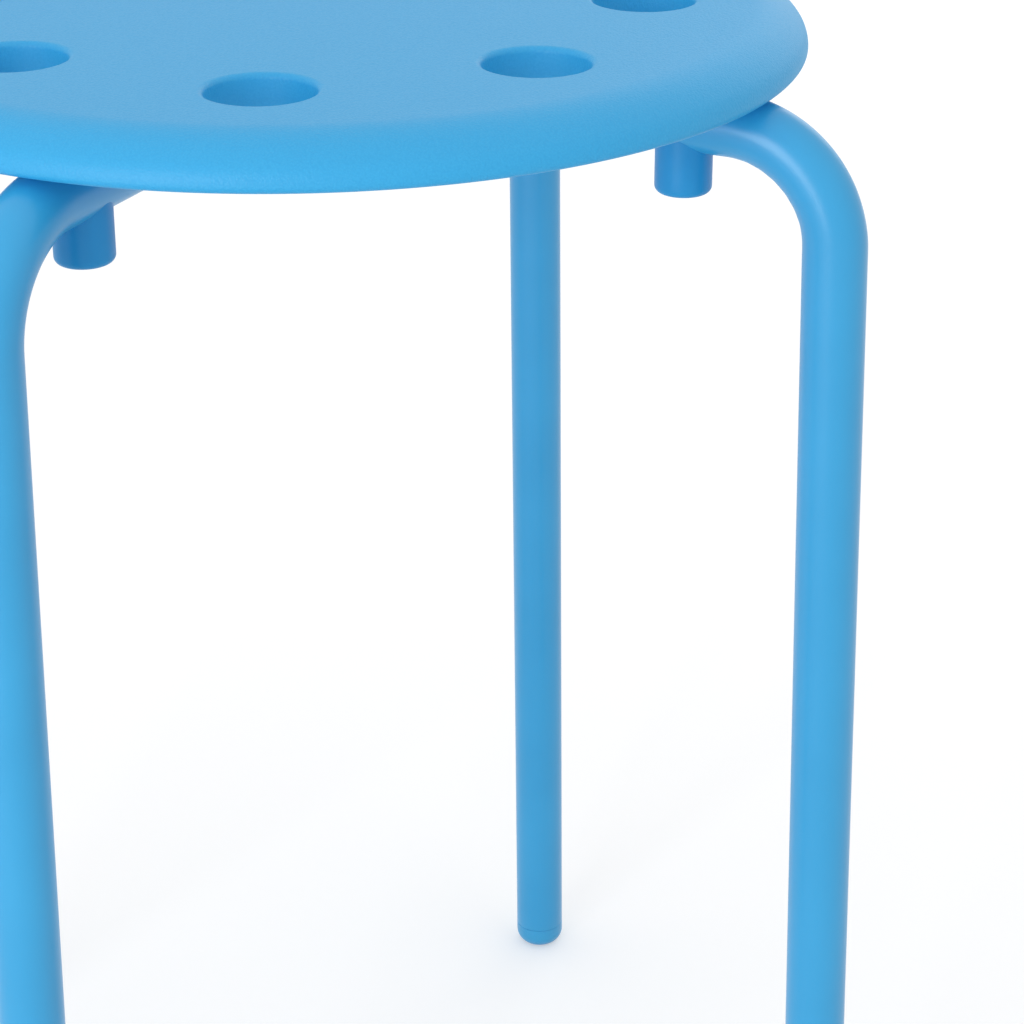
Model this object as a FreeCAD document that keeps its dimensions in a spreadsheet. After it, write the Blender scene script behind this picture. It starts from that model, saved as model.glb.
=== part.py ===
import FreeCAD, Part
import math
import os

import Sketcher
from FreeCAD import Placement, Rotation, Vector

# Stacking stool: a round moulded seat shell on four legs of bent steel tube.
# The frame is one full inverted-U tube and two half tubes coped against its middle, so that all
# four arms lie at one height under the seat. Four studs under the arms rest on the seat of the
# next stool down, and each lower stool is turned a little so that its legs stand beside these.
# Millimetres, +Z up, origin on the floor at the centre of the stool, arms along X and Y.

SIZES = (
    ("stool_height", 450, "floor to the top of the seat"),
    ("seat_radius", 154, "at the widest line of the rim"),
    ("seat_depth", 14, "top of the seat to the lower face of its rim"),
    ("seat_wall", 3, "thickness of the top skin"),
    ("rim_wall", 5, "thickness of the rim's lower lip"),
    ("roll_width", 17.2, "how far in from the rim the top starts to roll over"),
    ("nose_radius", 8, "tight radius where the roll reaches the rim"),
    ("rim_corner_radius", 2.2, "lower outer corner of the rim"),
    ("rim_hollow_radius", 8, "inner corner between rim and top skin"),
    ("finger_hole_count", 8, "holes through the seat"),
    ("finger_hole_setback", 50, "from the widest line of the rim in to a hole's centre"),
    ("finger_hole_radius", 15.5, "bore of a finger hole"),
    ("finger_hole_rounding", 1.8, "rounded upper edge of a finger hole"),
    ("collar_wall", 2.5, "wall round a finger hole under the seat"),
    ("rib_thickness", 2.2, "ribs under the seat"),
    ("rib_setback", 0.5, "how far the ribs stop above the rim's lower face"),
    ("radial_rib_count", 8, "ribs from the inner ring to the rim"),
    ("inner_ring_radius", 48, "ring rib round the mounting plate"),
    ("middle_ring_gap", 8, "from the finger hole collars in to the ring rib inside them"),
    ("seat_boss_radius", 7.5, "boss over each stud"),
    ("plate_boss_radius", 6, "boss over each plate screw"),
    ("pilot_depth", 7, "depth of the pilot hole in a plate boss"),
    ("tube_radius", 9.5, "outside of the frame tube"),
    ("tube_wall", 1.5, "wall of the frame tube"),
    ("bend_radius", 34, "of the tube's centre line at the shoulder"),
    ("leg_splay", 1.3, "degrees that a leg leans outwards"),
    ("weld_gap", 0.1, "between a coped end and the full tube"),
    ("plate_radius", 42, "mounting plate over the crossing"),
    ("plate_thickness", 2.5, "mounting plate over the crossing"),
    ("plate_screw_setback", 12, "from the plate's edge in to a plate screw's axis"),
    ("plate_screw_radius", 2, "shank of a plate screw"),
    ("plate_screw_head_radius", 4, "head of a plate screw"),
    ("plate_screw_head_height", 2.6, "head of a plate screw"),
    ("plate_screw_reach", 9, "length of a plate screw under its head"),
    ("stud_setback", 28.5, "from the widest line of the rim in to a stud's axis"),
    ("stud_to_bend", 4.8, "from a stud's side out to where the shoulder starts"),
    ("stud_radius", 8.5, "outside of a stacking stud"),
    ("stud_drop", 12.7, "how far a stud reaches below the arm"),
    ("stud_rounding", 2.2, "rounded lower edge of a stud"),
    ("saddle_clearance", 0.1, "between a stud's saddle and the arm"),
    ("stud_screw_radius", 2.5, "shank of a stud screw"),
    ("stud_screw_head_radius", 4.5, "head of a stud screw"),
    ("stud_screw_head_height", 3, "head of a stud screw"),
    ("stud_recess_depth", 5.5, "from a stud's lower face up to the seat of the screw head"),
    ("head_clearance", 0.4, "round a screw head in a stud's recess"),
    ("screw_clearance", 0.25, "round a shank in stud, arm and plate"),
    ("socket_width", 3, "across the flats of the drive socket in a screw head"),
    ("socket_depth", 1.6, "depth of the drive socket in a screw head"),
    ("screw_point", 0.8, "bevel at the end of a screw"),
    ("insert_radius", 3.4, "outside of a threaded insert"),
    ("insert_length", 9, "length of a threaded insert"),
    ("thread_clearance", 0.05, "round a screw in the piece that it screws into"),
    ("insert_clearance", 0.05, "round an insert in its boss"),
    ("insert_end_gap", 0.5, "above an insert in its boss"),
    ("foot_height", 9, "of the part of a foot plug that shows below its leg"),
    ("foot_rounding", 5.5, "rounded end of a foot plug"),
    ("foot_trim", 0.3, "depth of the flat that a foot plug stands on"),
    ("plug_length", 20, "part of a foot plug inside its leg"),
    ("plug_clearance", 0.1, "between a foot plug and the bore of its leg"),
)

# Heights and places that several pieces share, as formulas of the sizes above.
RIM_BOTTOM = "(Sizes.stool_height - Sizes.seat_depth)"
SKIN_BOTTOM = "(Sizes.stool_height - Sizes.seat_wall)"
RIB_BOTTOM = f"({RIM_BOTTOM} + Sizes.rib_setback)"
RIM_INSIDE = "(Sizes.seat_radius - Sizes.rim_wall)"
HOLLOW_BOTTOM = f"({RIM_BOTTOM} - Sizes.seat_wall)"
COLLAR_RADIUS = "(Sizes.finger_hole_radius + Sizes.collar_wall)"
FINGER_HOLE_CIRCLE = "(Sizes.seat_radius - Sizes.finger_hole_setback)"
MIDDLE_RING_RADIUS = f"({FINGER_HOLE_CIRCLE} - {COLLAR_RADIUS} - Sizes.middle_ring_gap)"
PLATE_SCREW_CIRCLE = "(Sizes.plate_radius - Sizes.plate_screw_setback)"
STUD_CIRCLE = "(Sizes.seat_radius - Sizes.stud_setback)"
ARM_AXIS = f"({RIM_BOTTOM} - Sizes.tube_radius)"
PLATE_BOTTOM = RIM_BOTTOM
PLATE_TOP = f"({PLATE_BOTTOM} + Sizes.plate_thickness)"
STUD_BOTTOM = f"({ARM_AXIS} - Sizes.tube_radius - Sizes.stud_drop)"
STUD_HEAD_SEAT = f"({STUD_BOTTOM} + Sizes.stud_recess_depth)"
INSERT_TOP = f"({RIM_BOTTOM} + Sizes.insert_length)"
BEND_END_HEIGHT = f"({ARM_AXIS} - Sizes.bend_radius + Sizes.bend_radius * sin(Sizes.leg_splay))"
BEND_CENTRE = f"({STUD_CIRCLE} + Sizes.stud_radius + Sizes.stud_to_bend)"
FOOT_CIRCLE = (
    f"({BEND_CENTRE} + Sizes.bend_radius * cos(Sizes.leg_splay)"
    f" + {BEND_END_HEIGHT} * tan(Sizes.leg_splay))"
)
LEG_END_HEIGHT = "(Sizes.foot_height * cos(Sizes.leg_splay))"
LEG_END_CIRCLE = f"({FOOT_CIRCLE} - Sizes.foot_height * sin(Sizes.leg_splay))"

doc = FreeCAD.newDocument("stacking_stool")
sheet = doc.addObject("Spreadsheet::Sheet", "Sizes")
for row, (alias, value, meaning) in enumerate(SIZES, start=1):
    sheet.set(f"A{row}", alias)
    sheet.set(f"B{row}", str(value))
    sheet.set(f"C{row}", meaning)
    sheet.setAlias(f"B{row}", alias)
doc.recompute()


def worth(formula):
    """Number that a formula of the sizes gives."""
    value = sheet.evalExpression(formula.replace("Sizes.", ""))
    return float(getattr(value, "Value", value))


def new_body(name):
    body = doc.addObject("PartDesign::Body", name)
    body.Label = name
    return body


def plane_of(body, role):
    return next(item for item in body.Origin.OriginFeatures if item.Role == role)


def new_sketch(body, role, name, height=None):
    """Sketch on one of the body's own origin planes, lifted to a height where one is given."""
    sketch = body.newObject("Sketcher::SketchObject", name)
    sketch.AttachmentSupport = [(plane_of(body, role), "")]
    sketch.MapMode = "FlatFace"
    if height:
        sketch.setExpression("AttachmentOffset.Base.z", height)
    return sketch


def bind(sketch, kind, *geometry, size):
    """Dimension in a sketch that follows a formula of the sizes."""
    index = sketch.addConstraint(Sketcher.Constraint(kind, *geometry, worth(size)))
    sketch.setExpression(f"Constraints[{index}]", size)


def place_point(sketch, geometry, end, across, up):
    """Fix one point of a sketch by its two distances from the sketch's origin."""
    bind(sketch, "DistanceX", -1, 1, geometry, end, size=across)
    bind(sketch, "DistanceY", -1, 1, geometry, end, size=up)


def add_line(sketch, start, end):
    return sketch.addGeometry(Part.LineSegment(Vector(*start, 0), Vector(*end, 0)), False)


def add_arc(sketch, centre, radius, first, last):
    """Arc from the first angle round to the last, in degrees, anticlockwise."""
    circle = Part.Circle(Vector(*centre, 0), Vector(0, 0, 1), radius)
    arc = Part.ArcOfCircle(circle, math.radians(first), math.radians(last))
    return sketch.addGeometry(arc, False)


def add_circle(sketch, across, up, radius):
    centre = Vector(worth(across), worth(up), 0)
    circle = sketch.addGeometry(Part.Circle(centre, Vector(0, 0, 1), worth(radius)), False)
    place_point(sketch, circle, 3, across, up)
    bind(sketch, "Radius", circle, size=radius)
    return circle


def add_outline(sketch, corners):
    """Closed outline through corners, each a pair of formulas."""
    places = [(worth(across), worth(up)) for across, up in corners]
    sides = [add_line(sketch, places[i], places[(i + 1) % len(places)]) for i in range(len(places))]
    for i, side in enumerate(sides):
        sketch.addConstraint(Sketcher.Constraint("Coincident", side, 2, sides[(i + 1) % len(sides)], 1))
        place_point(sketch, side, 1, *corners[i])
    return sides


def finish(body, feature):
    doc.recompute()
    body.Tip = feature
    return feature


def revolve(body, sketch, name):
    feature = body.newObject("PartDesign::Revolution", name)
    feature.Profile = sketch
    feature.ReferenceAxis = (sketch, ["V_Axis"])
    feature.Angle = 360
    return finish(body, feature)


def cut_up(body, sketch, name, depth):
    """Pocket from the sketch upwards."""
    feature = body.newObject("PartDesign::Pocket", name)
    feature.Profile = sketch
    feature.Reversed = True
    feature.setExpression("Length", depth)
    return finish(body, feature)


def cut_both_ways(body, sketch, name, length):
    """Pocket of a whole length, half of it on each side of the sketch."""
    feature = body.newObject("PartDesign::Pocket", name)
    feature.Profile = sketch
    feature.Midplane = True
    feature.setExpression("Length", length)
    return finish(body, feature)


def repeat_round(body, original, sketch, name, count):
    """Copies of a feature round the stool's axis."""
    feature = body.newObject("PartDesign::PolarPattern", name)
    feature.Originals = [original]
    feature.Axis = (sketch, ["N_Axis"])
    feature.Angle = 360
    feature.setExpression("Occurrences", count)
    return finish(body, feature)


def circle_test(radius, height):
    """Test for the round edges of one radius at one height."""
    size, level, near = worth(radius), worth(height), 0.01

    def is_wanted(edge):
        if not isinstance(edge.Curve, Part.Circle):
            return False
        return abs(edge.Curve.Radius - size) < near and abs(edge.Curve.Center.z - level) < near

    return is_wanted


def round_edges(body, base, name, radius, wanted):
    """Fillet on the edges of the base that the test picks."""
    picked = [f"Edge{i}" for i, edge in enumerate(base.Shape.Edges, start=1) if wanted(edge)]
    feature = body.newObject("PartDesign::Fillet", name)
    feature.Base = (base, picked)
    feature.setExpression("Radius", radius)
    return finish(body, feature)


# Seat shell

def join_smoothly(sketch, pairs):
    for first, first_end, second, second_end in pairs:
        sketch.addConstraint(Sketcher.Constraint("Tangent", first, first_end, second, second_end))


def draw_seat_section(body):
    """Half section of the seat's outside: flat top, roll of two arcs, rounded lower corner."""
    sketch = new_sketch(body, "XZ_Plane", "seat_section")
    top, bottom = worth("Sizes.stool_height"), worth(RIM_BOTTOM)
    rim, roll, nose = worth("Sizes.seat_radius"), worth("Sizes.roll_width"), worth("Sizes.nose_radius")
    corner = worth("Sizes.rim_corner_radius")
    widest = bottom + corner
    rise = top - widest
    crown = (roll ** 2 + rise ** 2 - 2 * roll * nose) / (2 * (rise - nose))
    turn = math.degrees(math.atan2(crown - rise, roll - nose))
    top_line = add_line(sketch, (0, top), (rim - roll, top))
    crown_arc = add_arc(sketch, (rim - roll, top - crown), crown, turn, 90)
    nose_arc = add_arc(sketch, (rim - nose, widest), nose, 0, turn)
    corner_arc = add_arc(sketch, (rim - corner, widest), corner, -90, 0)
    bottom_line = add_line(sketch, (rim - corner, bottom), (0, bottom))
    centre_line = add_line(sketch, (0, bottom), (0, top))
    join_smoothly(sketch, (
        (top_line, 2, crown_arc, 2), (crown_arc, 1, nose_arc, 2), (nose_arc, 1, corner_arc, 2),
        (corner_arc, 1, bottom_line, 1),
    ))
    sketch.addConstraint(Sketcher.Constraint("Coincident", bottom_line, 2, centre_line, 1))
    sketch.addConstraint(Sketcher.Constraint("Coincident", centre_line, 2, top_line, 1))
    sketch.addConstraint(Sketcher.Constraint("Horizontal", top_line))
    sketch.addConstraint(Sketcher.Constraint("Horizontal", bottom_line))
    for end in (1, 2):
        sketch.addConstraint(Sketcher.Constraint("PointOnObject", centre_line, end, -2))
    bind(sketch, "DistanceY", -1, 1, centre_line, 2, size="Sizes.stool_height")
    bind(sketch, "DistanceY", -1, 1, centre_line, 1, size=RIM_BOTTOM)
    bind(sketch, "DistanceX", -1, 1, top_line, 2, size="Sizes.seat_radius - Sizes.roll_width")
    bind(sketch, "DistanceX", -1, 1, nose_arc, 1, size="Sizes.seat_radius")
    bind(sketch, "Radius", nose_arc, size="Sizes.nose_radius")
    bind(sketch, "Radius", corner_arc, size="Sizes.rim_corner_radius")
    return sketch


def draw_hollow_section(body):
    """Half section of the hollow under the seat, carried on a little below the rim."""
    sketch = new_sketch(body, "XZ_Plane", "hollow_section")
    skin, floor = worth(SKIN_BOTTOM), worth(HOLLOW_BOTTOM)
    inside, hollow = worth(RIM_INSIDE), worth("Sizes.rim_hollow_radius")
    wall_line = add_line(sketch, (inside, floor), (inside, skin - hollow))
    corner_arc = add_arc(sketch, (inside - hollow, skin - hollow), hollow, 0, 90)
    skin_line = add_line(sketch, (inside - hollow, skin), (0, skin))
    centre_line = add_line(sketch, (0, skin), (0, floor))
    floor_line = add_line(sketch, (0, floor), (inside, floor))
    join_smoothly(sketch, ((wall_line, 2, corner_arc, 1), (corner_arc, 2, skin_line, 1)))
    for first, second in ((skin_line, centre_line), (centre_line, floor_line), (floor_line, wall_line)):
        sketch.addConstraint(Sketcher.Constraint("Coincident", first, 2, second, 1))
    sketch.addConstraint(Sketcher.Constraint("Horizontal", skin_line))
    sketch.addConstraint(Sketcher.Constraint("Horizontal", floor_line))
    sketch.addConstraint(Sketcher.Constraint("Vertical", wall_line))
    for end in (1, 2):
        sketch.addConstraint(Sketcher.Constraint("PointOnObject", centre_line, end, -2))
    bind(sketch, "DistanceY", -1, 1, centre_line, 1, size=SKIN_BOTTOM)
    bind(sketch, "DistanceY", -1, 1, centre_line, 2, size=HOLLOW_BOTTOM)
    bind(sketch, "DistanceX", -1, 1, wall_line, 1, size=RIM_INSIDE)
    bind(sketch, "Radius", corner_arc, size="Sizes.rim_hollow_radius")
    return sketch


def polar(circle, angle):
    """Two formulas for a point on a circle about the stool's axis."""
    return f"{circle} * cos({angle})", f"{circle} * sin({angle})"


FIRST_FINGER_HOLE = polar(FINGER_HOLE_CIRCLE, "180 / Sizes.finger_hole_count")
FIRST_PLATE_SCREW = polar(PLATE_SCREW_CIRCLE, "45")


def make_hollow():
    """The space under the seat: every rib, ring, collar and boss is left out of it."""
    body = new_body("seat_hollow")
    revolve(body, draw_hollow_section(body), "hollow")

    def leave_out(name, bottom, circles, count=None):
        sketch = new_sketch(body, "XY_Plane", f"{name}_circle", bottom)
        for across, up, radius in circles:
            add_circle(sketch, across, up, radius)
        feature = cut_up(body, sketch, name, "Sizes.seat_depth")
        if count:
            repeat_round(body, feature, sketch, f"{name}_all", count)

    collar = (*FIRST_FINGER_HOLE, COLLAR_RADIUS)
    leave_out("collar", RIB_BOTTOM, [collar], "Sizes.finger_hole_count")
    half_rib = "Sizes.rib_thickness / 2"
    for ring, radius in (("inner_ring", "Sizes.inner_ring_radius"), ("middle_ring", MIDDLE_RING_RADIUS)):
        edges = [("0", "0", f"{radius} {sign} {half_rib}") for sign in ("-", "+")]
        leave_out(ring, RIB_BOTTOM, edges)
    leave_out("seat_boss", RIM_BOTTOM, [(STUD_CIRCLE, "0", "Sizes.seat_boss_radius")], "4")
    leave_out("plate_boss", PLATE_TOP, [(*FIRST_PLATE_SCREW, "Sizes.plate_boss_radius")], "4")

    sketch = new_sketch(body, "XY_Plane", "radial_rib_outline", RIB_BOTTOM)
    add_outline(sketch, [
        ("Sizes.inner_ring_radius", f"-{half_rib}"), ("Sizes.seat_radius", f"-{half_rib}"),
        ("Sizes.seat_radius", half_rib), ("Sizes.inner_ring_radius", half_rib),
    ])
    rib = cut_up(body, sketch, "radial_rib", "Sizes.seat_depth")
    repeat_round(body, rib, sketch, "radial_ribs", "Sizes.radial_rib_count")
    return body


def make_seat():
    body = new_body("seat_shell")
    revolve(body, draw_seat_section(body), "disc")
    hollow = body.newObject("PartDesign::Boolean", "hollowed")
    hollow.setObjects([make_hollow()])
    hollow.Type = "Cut"
    finish(body, hollow)

    def drill(name, bottom, across, up, radius, depth, count):
        sketch = new_sketch(body, "XY_Plane", f"{name}_circle", bottom)
        add_circle(sketch, across, up, radius)
        feature = cut_up(body, sketch, name, depth)
        return repeat_round(body, feature, sketch, f"{name}_all", count)

    drill("insert_hole", RIM_BOTTOM, STUD_CIRCLE, "0",
          "Sizes.insert_radius + Sizes.insert_clearance", "Sizes.insert_length + Sizes.insert_end_gap", "4")
    drill("pilot_hole", PLATE_TOP, *FIRST_PLATE_SCREW,
          "Sizes.plate_screw_radius + Sizes.thread_clearance", "Sizes.pilot_depth", "4")
    holes = drill("finger_hole", RIM_BOTTOM, *FIRST_FINGER_HOLE,
                  "Sizes.finger_hole_radius", "Sizes.seat_depth * 2", "Sizes.finger_hole_count")
    upper_edge = circle_test("Sizes.finger_hole_radius", "Sizes.stool_height")
    round_edges(body, holes, "finger_hole_edges", "Sizes.finger_hole_rounding", upper_edge)
    return body


# Frame tubes

def sweep_arm_and_leg(body):
    """Tube from the middle of the stool out along X, round the shoulder and down to a foot plug."""
    path = new_sketch(body, "XZ_Plane", "tube_path")
    arm, bend = worth(ARM_AXIS), worth("Sizes.bend_radius")
    middle, splay = worth(BEND_CENTRE), worth("Sizes.leg_splay")
    bend_end = (middle + bend * math.cos(math.radians(splay)), worth(BEND_END_HEIGHT))
    leg_end = (worth(LEG_END_CIRCLE), worth(LEG_END_HEIGHT))
    arm_line = add_line(path, (0, arm), (middle, arm))
    shoulder = add_arc(path, (middle, arm - bend), bend, splay, 90)
    leg_line = add_line(path, bend_end, leg_end)
    path.addConstraint(Sketcher.Constraint("PointOnObject", arm_line, 1, -2))
    path.addConstraint(Sketcher.Constraint("Horizontal", arm_line))
    path.addConstraint(Sketcher.Constraint("Tangent", arm_line, 2, shoulder, 2))
    path.addConstraint(Sketcher.Constraint("Tangent", shoulder, 1, leg_line, 1))
    bind(path, "DistanceY", -1, 1, arm_line, 1, size=ARM_AXIS)
    bind(path, "DistanceX", -1, 1, shoulder, 3, size=BEND_CENTRE)
    bind(path, "Radius", shoulder, size="Sizes.bend_radius")
    place_point(path, leg_line, 2, LEG_END_CIRCLE, LEG_END_HEIGHT)

    section = new_sketch(body, "YZ_Plane", "tube_section")
    for radius in ("Sizes.tube_radius", "Sizes.tube_radius - Sizes.tube_wall"):
        add_circle(section, "0", ARM_AXIS, radius)
    doc.recompute()
    pipe = body.newObject("PartDesign::AdditivePipe", "tube")
    pipe.Profile = section
    pipe.Spine = path
    return finish(body, pipe)


def drill_for_stud_screws(body, places):
    sketch = new_sketch(body, "XY_Plane", "screw_hole_circles", ARM_AXIS)
    for place in places:
        add_circle(sketch, place, "0", "Sizes.stud_screw_radius + Sizes.screw_clearance")
    cut_both_ways(body, sketch, "screw_holes", "Sizes.tube_radius * 2 + Sizes.tube_wall")


def make_through_tube():
    body = new_body("frame_tube_through")
    pipe = sweep_arm_and_leg(body)
    mirror = body.newObject("PartDesign::Mirrored", "other_half")
    mirror.Originals = [pipe]
    mirror.MirrorPlane = (plane_of(body, "YZ_Plane"), [""])
    finish(body, mirror)
    drill_for_stud_screws(body, (STUD_CIRCLE, f"-{STUD_CIRCLE}"))
    return body


def make_half_tube(name, angle):
    """One arm and leg, its inner end coped to the round of the full tube."""
    body = new_body(name)
    sweep_arm_and_leg(body)
    sketch = new_sketch(body, "XZ_Plane", "cope_circle")
    add_circle(sketch, "0", ARM_AXIS, "Sizes.tube_radius + Sizes.weld_gap")
    cut_both_ways(body, sketch, "cope", "Sizes.tube_radius * 4")
    drill_for_stud_screws(body, (STUD_CIRCLE,))
    body.Placement = Placement(Vector(0, 0, 0), Rotation(Vector(0, 0, 1), angle))
    return body


def make_plate():
    body = new_body("centre_plate")
    sketch = new_sketch(body, "XY_Plane", "plate_circle", PLATE_BOTTOM)
    add_circle(sketch, "0", "0", "Sizes.plate_radius")
    plate = body.newObject("PartDesign::Pad", "plate")
    plate.Profile = sketch
    plate.setExpression("Length", "Sizes.plate_thickness")
    finish(body, plate)
    sketch = new_sketch(body, "XY_Plane", "plate_hole_circle", PLATE_BOTTOM)
    add_circle(sketch, *FIRST_PLATE_SCREW, "Sizes.plate_screw_radius + Sizes.screw_clearance")
    hole = cut_up(body, sketch, "plate_hole", "Sizes.plate_thickness * 2")
    repeat_round(body, hole, sketch, "plate_holes", "4")
    return body


# Studs, feet and fasteners, each made on its own axis and then set round the stool

def set_round(body, circle, angle):
    """Stand a body made on the Z axis at its place on a circle round the stool."""
    across, up = polar(circle, str(angle))
    body.setExpression("Placement.Base.x", across)
    body.setExpression("Placement.Base.y", up)
    body.Placement = Placement(body.Placement.Base, Rotation(Vector(0, 0, 1), angle))


def make_stud(name, angle):
    """Round stud with a recessed screw hole, its top cut to the round of the arm."""
    body = new_body(name)
    sketch = new_sketch(body, "XZ_Plane", "stud_section")
    bore = "Sizes.stud_screw_radius + Sizes.screw_clearance"
    recess = "Sizes.stud_screw_head_radius + Sizes.head_clearance"
    side = "Sizes.stud_radius"
    add_outline(sketch, [
        (recess, STUD_BOTTOM), (side, STUD_BOTTOM), (side, ARM_AXIS),
        (bore, ARM_AXIS), (bore, STUD_HEAD_SEAT), (recess, STUD_HEAD_SEAT),
    ])
    turned = revolve(body, sketch, "turned")
    round_edges(body, turned, "lower_edge", "Sizes.stud_rounding", circle_test(side, STUD_BOTTOM))
    sketch = new_sketch(body, "YZ_Plane", "saddle_circle")
    add_circle(sketch, "0", ARM_AXIS, "Sizes.tube_radius + Sizes.saddle_clearance")
    cut_both_ways(body, sketch, "saddle", "Sizes.stud_radius * 3")
    set_round(body, STUD_CIRCLE, angle)
    return body


def make_foot(name, angle):
    """Plug on the axis of its leg: a stem in the bore and a rounded end cut level with the floor."""
    body = new_body(name)
    sketch = new_sketch(body, "XZ_Plane", "plug_section")
    stem = "Sizes.tube_radius - Sizes.tube_wall - Sizes.plug_clearance"
    stem_top = "Sizes.foot_height + Sizes.plug_length"
    add_outline(sketch, [
        ("0", "-Sizes.foot_trim"), ("Sizes.tube_radius", "-Sizes.foot_trim"),
        ("Sizes.tube_radius", "Sizes.foot_height"), (stem, "Sizes.foot_height"),
        (stem, stem_top), ("0", stem_top),
    ])
    turned = revolve(body, sketch, "turned")
    lower_edge = circle_test("Sizes.tube_radius", "-Sizes.foot_trim")
    round_edges(body, turned, "rounded_end", "Sizes.foot_rounding", lower_edge)
    sketch = new_sketch(body, "XZ_Plane", "floor_outline")
    reach = "(Sizes.tube_radius * 2)"
    rise = f"{reach} * tan(Sizes.leg_splay)"
    add_outline(sketch, [
        (f"-{reach}", f"-{reach}"), (reach, f"-{reach}"), (reach, f"-{rise}"), (f"-{reach}", rise),
    ])
    cut_both_ways(body, sketch, "floor_cut", f"{reach} * 2")
    set_round(body, FOOT_CIRCLE, angle)
    lean = Rotation(Vector(0, 1, 0), -worth("Sizes.leg_splay"))
    body.Placement = Placement(body.Placement.Base, Rotation(Vector(0, 0, 1), angle).multiply(lean))
    return body


def turn_screw(name, head_bottom, head_top, tip, head_radius, shank_radius):
    """Flat-headed screw pointing up, with a six-sided drive socket in the lower face of its head."""
    body = new_body(name)
    sketch = new_sketch(body, "XZ_Plane", "screw_section")
    add_outline(sketch, [
        ("0", head_bottom), (head_radius, head_bottom), (head_radius, head_top), (shank_radius, head_top),
        (shank_radius, f"{tip} - Sizes.screw_point"), (f"{shank_radius} - Sizes.screw_point", tip),
        ("0", tip),
    ])
    revolve(body, sketch, "turned")
    sketch = new_sketch(body, "XY_Plane", "socket_outline", head_bottom)
    corner = "Sizes.socket_width / sqrt(3)"
    add_outline(sketch, [polar(corner, str(60 * side)) for side in range(6)])
    cut_up(body, sketch, "socket", "Sizes.socket_depth")
    return body


def make_stud_screw(name, angle):
    body = turn_screw(
        name, f"({STUD_HEAD_SEAT} - Sizes.stud_screw_head_height)", STUD_HEAD_SEAT, INSERT_TOP,
        "Sizes.stud_screw_head_radius", "Sizes.stud_screw_radius",
    )
    set_round(body, STUD_CIRCLE, angle)
    return body


def make_plate_screw(name, angle):
    body = turn_screw(
        name, f"({PLATE_BOTTOM} - Sizes.plate_screw_head_height)", PLATE_BOTTOM,
        f"({PLATE_BOTTOM} + Sizes.plate_screw_reach)",
        "Sizes.plate_screw_head_radius", "Sizes.plate_screw_radius",
    )
    set_round(body, PLATE_SCREW_CIRCLE, angle)
    return body


def make_insert(name, angle):
    """Threaded sleeve pressed into a seat boss from below."""
    body = new_body(name)
    sketch = new_sketch(body, "XZ_Plane", "insert_section")
    bore = "Sizes.stud_screw_radius + Sizes.thread_clearance"
    add_outline(sketch, [
        (bore, RIM_BOTTOM), ("Sizes.insert_radius", RIM_BOTTOM), ("Sizes.insert_radius", INSERT_TOP),
        (bore, INSERT_TOP),
    ])
    revolve(body, sketch, "turned")
    set_round(body, STUD_CIRCLE, angle)
    return body


parts = [
    make_seat(),
    make_through_tube(),
    make_half_tube("frame_tube_half_front", -90),
    make_half_tube("frame_tube_half_rear", 90),
    make_plate(),
]
for number, arm_angle in enumerate((0, 90, 180, 270), start=1):
    parts.append(make_stud(f"stacking_stud_{number}", arm_angle))
    parts.append(make_stud_screw(f"stud_screw_{number}", arm_angle))
    parts.append(make_insert(f"seat_insert_{number}", arm_angle))
    parts.append(make_foot(f"foot_plug_{number}", arm_angle))
    parts.append(make_plate_screw(f"plate_screw_{number}", arm_angle + 45))

doc.recompute()
for item in doc.Objects:
    if "Invalid" in item.State or "Error" in item.State:
        raise RuntimeError(f"{item.Name} failed: {item.State}")
for part in parts:
    if part.Shape.isNull() or not part.Shape.isValid() or len(part.Shape.Solids) != 1:
        raise RuntimeError(f"{part.Label} is not one sound solid")

os.makedirs("parts", exist_ok=True)
for part in parts:
    part.Shape.exportStep(f"parts/{part.Label}.step")
    print(f"{part.Label}: {part.Shape.Volume:.0f} mm3")
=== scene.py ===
import math

import bmesh
import bpy
import numpy as np
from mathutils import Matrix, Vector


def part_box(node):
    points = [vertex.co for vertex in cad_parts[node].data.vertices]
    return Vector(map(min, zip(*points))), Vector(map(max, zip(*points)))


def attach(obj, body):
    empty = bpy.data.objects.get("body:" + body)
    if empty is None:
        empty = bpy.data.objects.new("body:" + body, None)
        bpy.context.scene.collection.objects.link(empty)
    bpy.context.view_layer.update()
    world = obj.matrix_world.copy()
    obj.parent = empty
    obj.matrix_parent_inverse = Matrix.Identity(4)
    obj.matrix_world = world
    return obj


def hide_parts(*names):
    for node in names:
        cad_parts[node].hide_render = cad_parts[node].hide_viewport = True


# Stacking stool: moulded seat on four legs of bent, powder-coated steel tube.
# Shapes are worked out in millimetres in the CAD frame and turned to metres when a mesh is made.

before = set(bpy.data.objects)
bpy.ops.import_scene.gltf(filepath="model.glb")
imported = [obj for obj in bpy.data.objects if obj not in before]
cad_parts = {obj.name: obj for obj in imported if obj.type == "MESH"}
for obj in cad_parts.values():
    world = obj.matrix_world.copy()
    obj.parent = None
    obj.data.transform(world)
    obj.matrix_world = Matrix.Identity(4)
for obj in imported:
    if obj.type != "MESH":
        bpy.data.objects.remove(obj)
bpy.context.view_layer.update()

MM = 0.001
QUARTER_TURNS = (0, 90, 180, 270)

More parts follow.
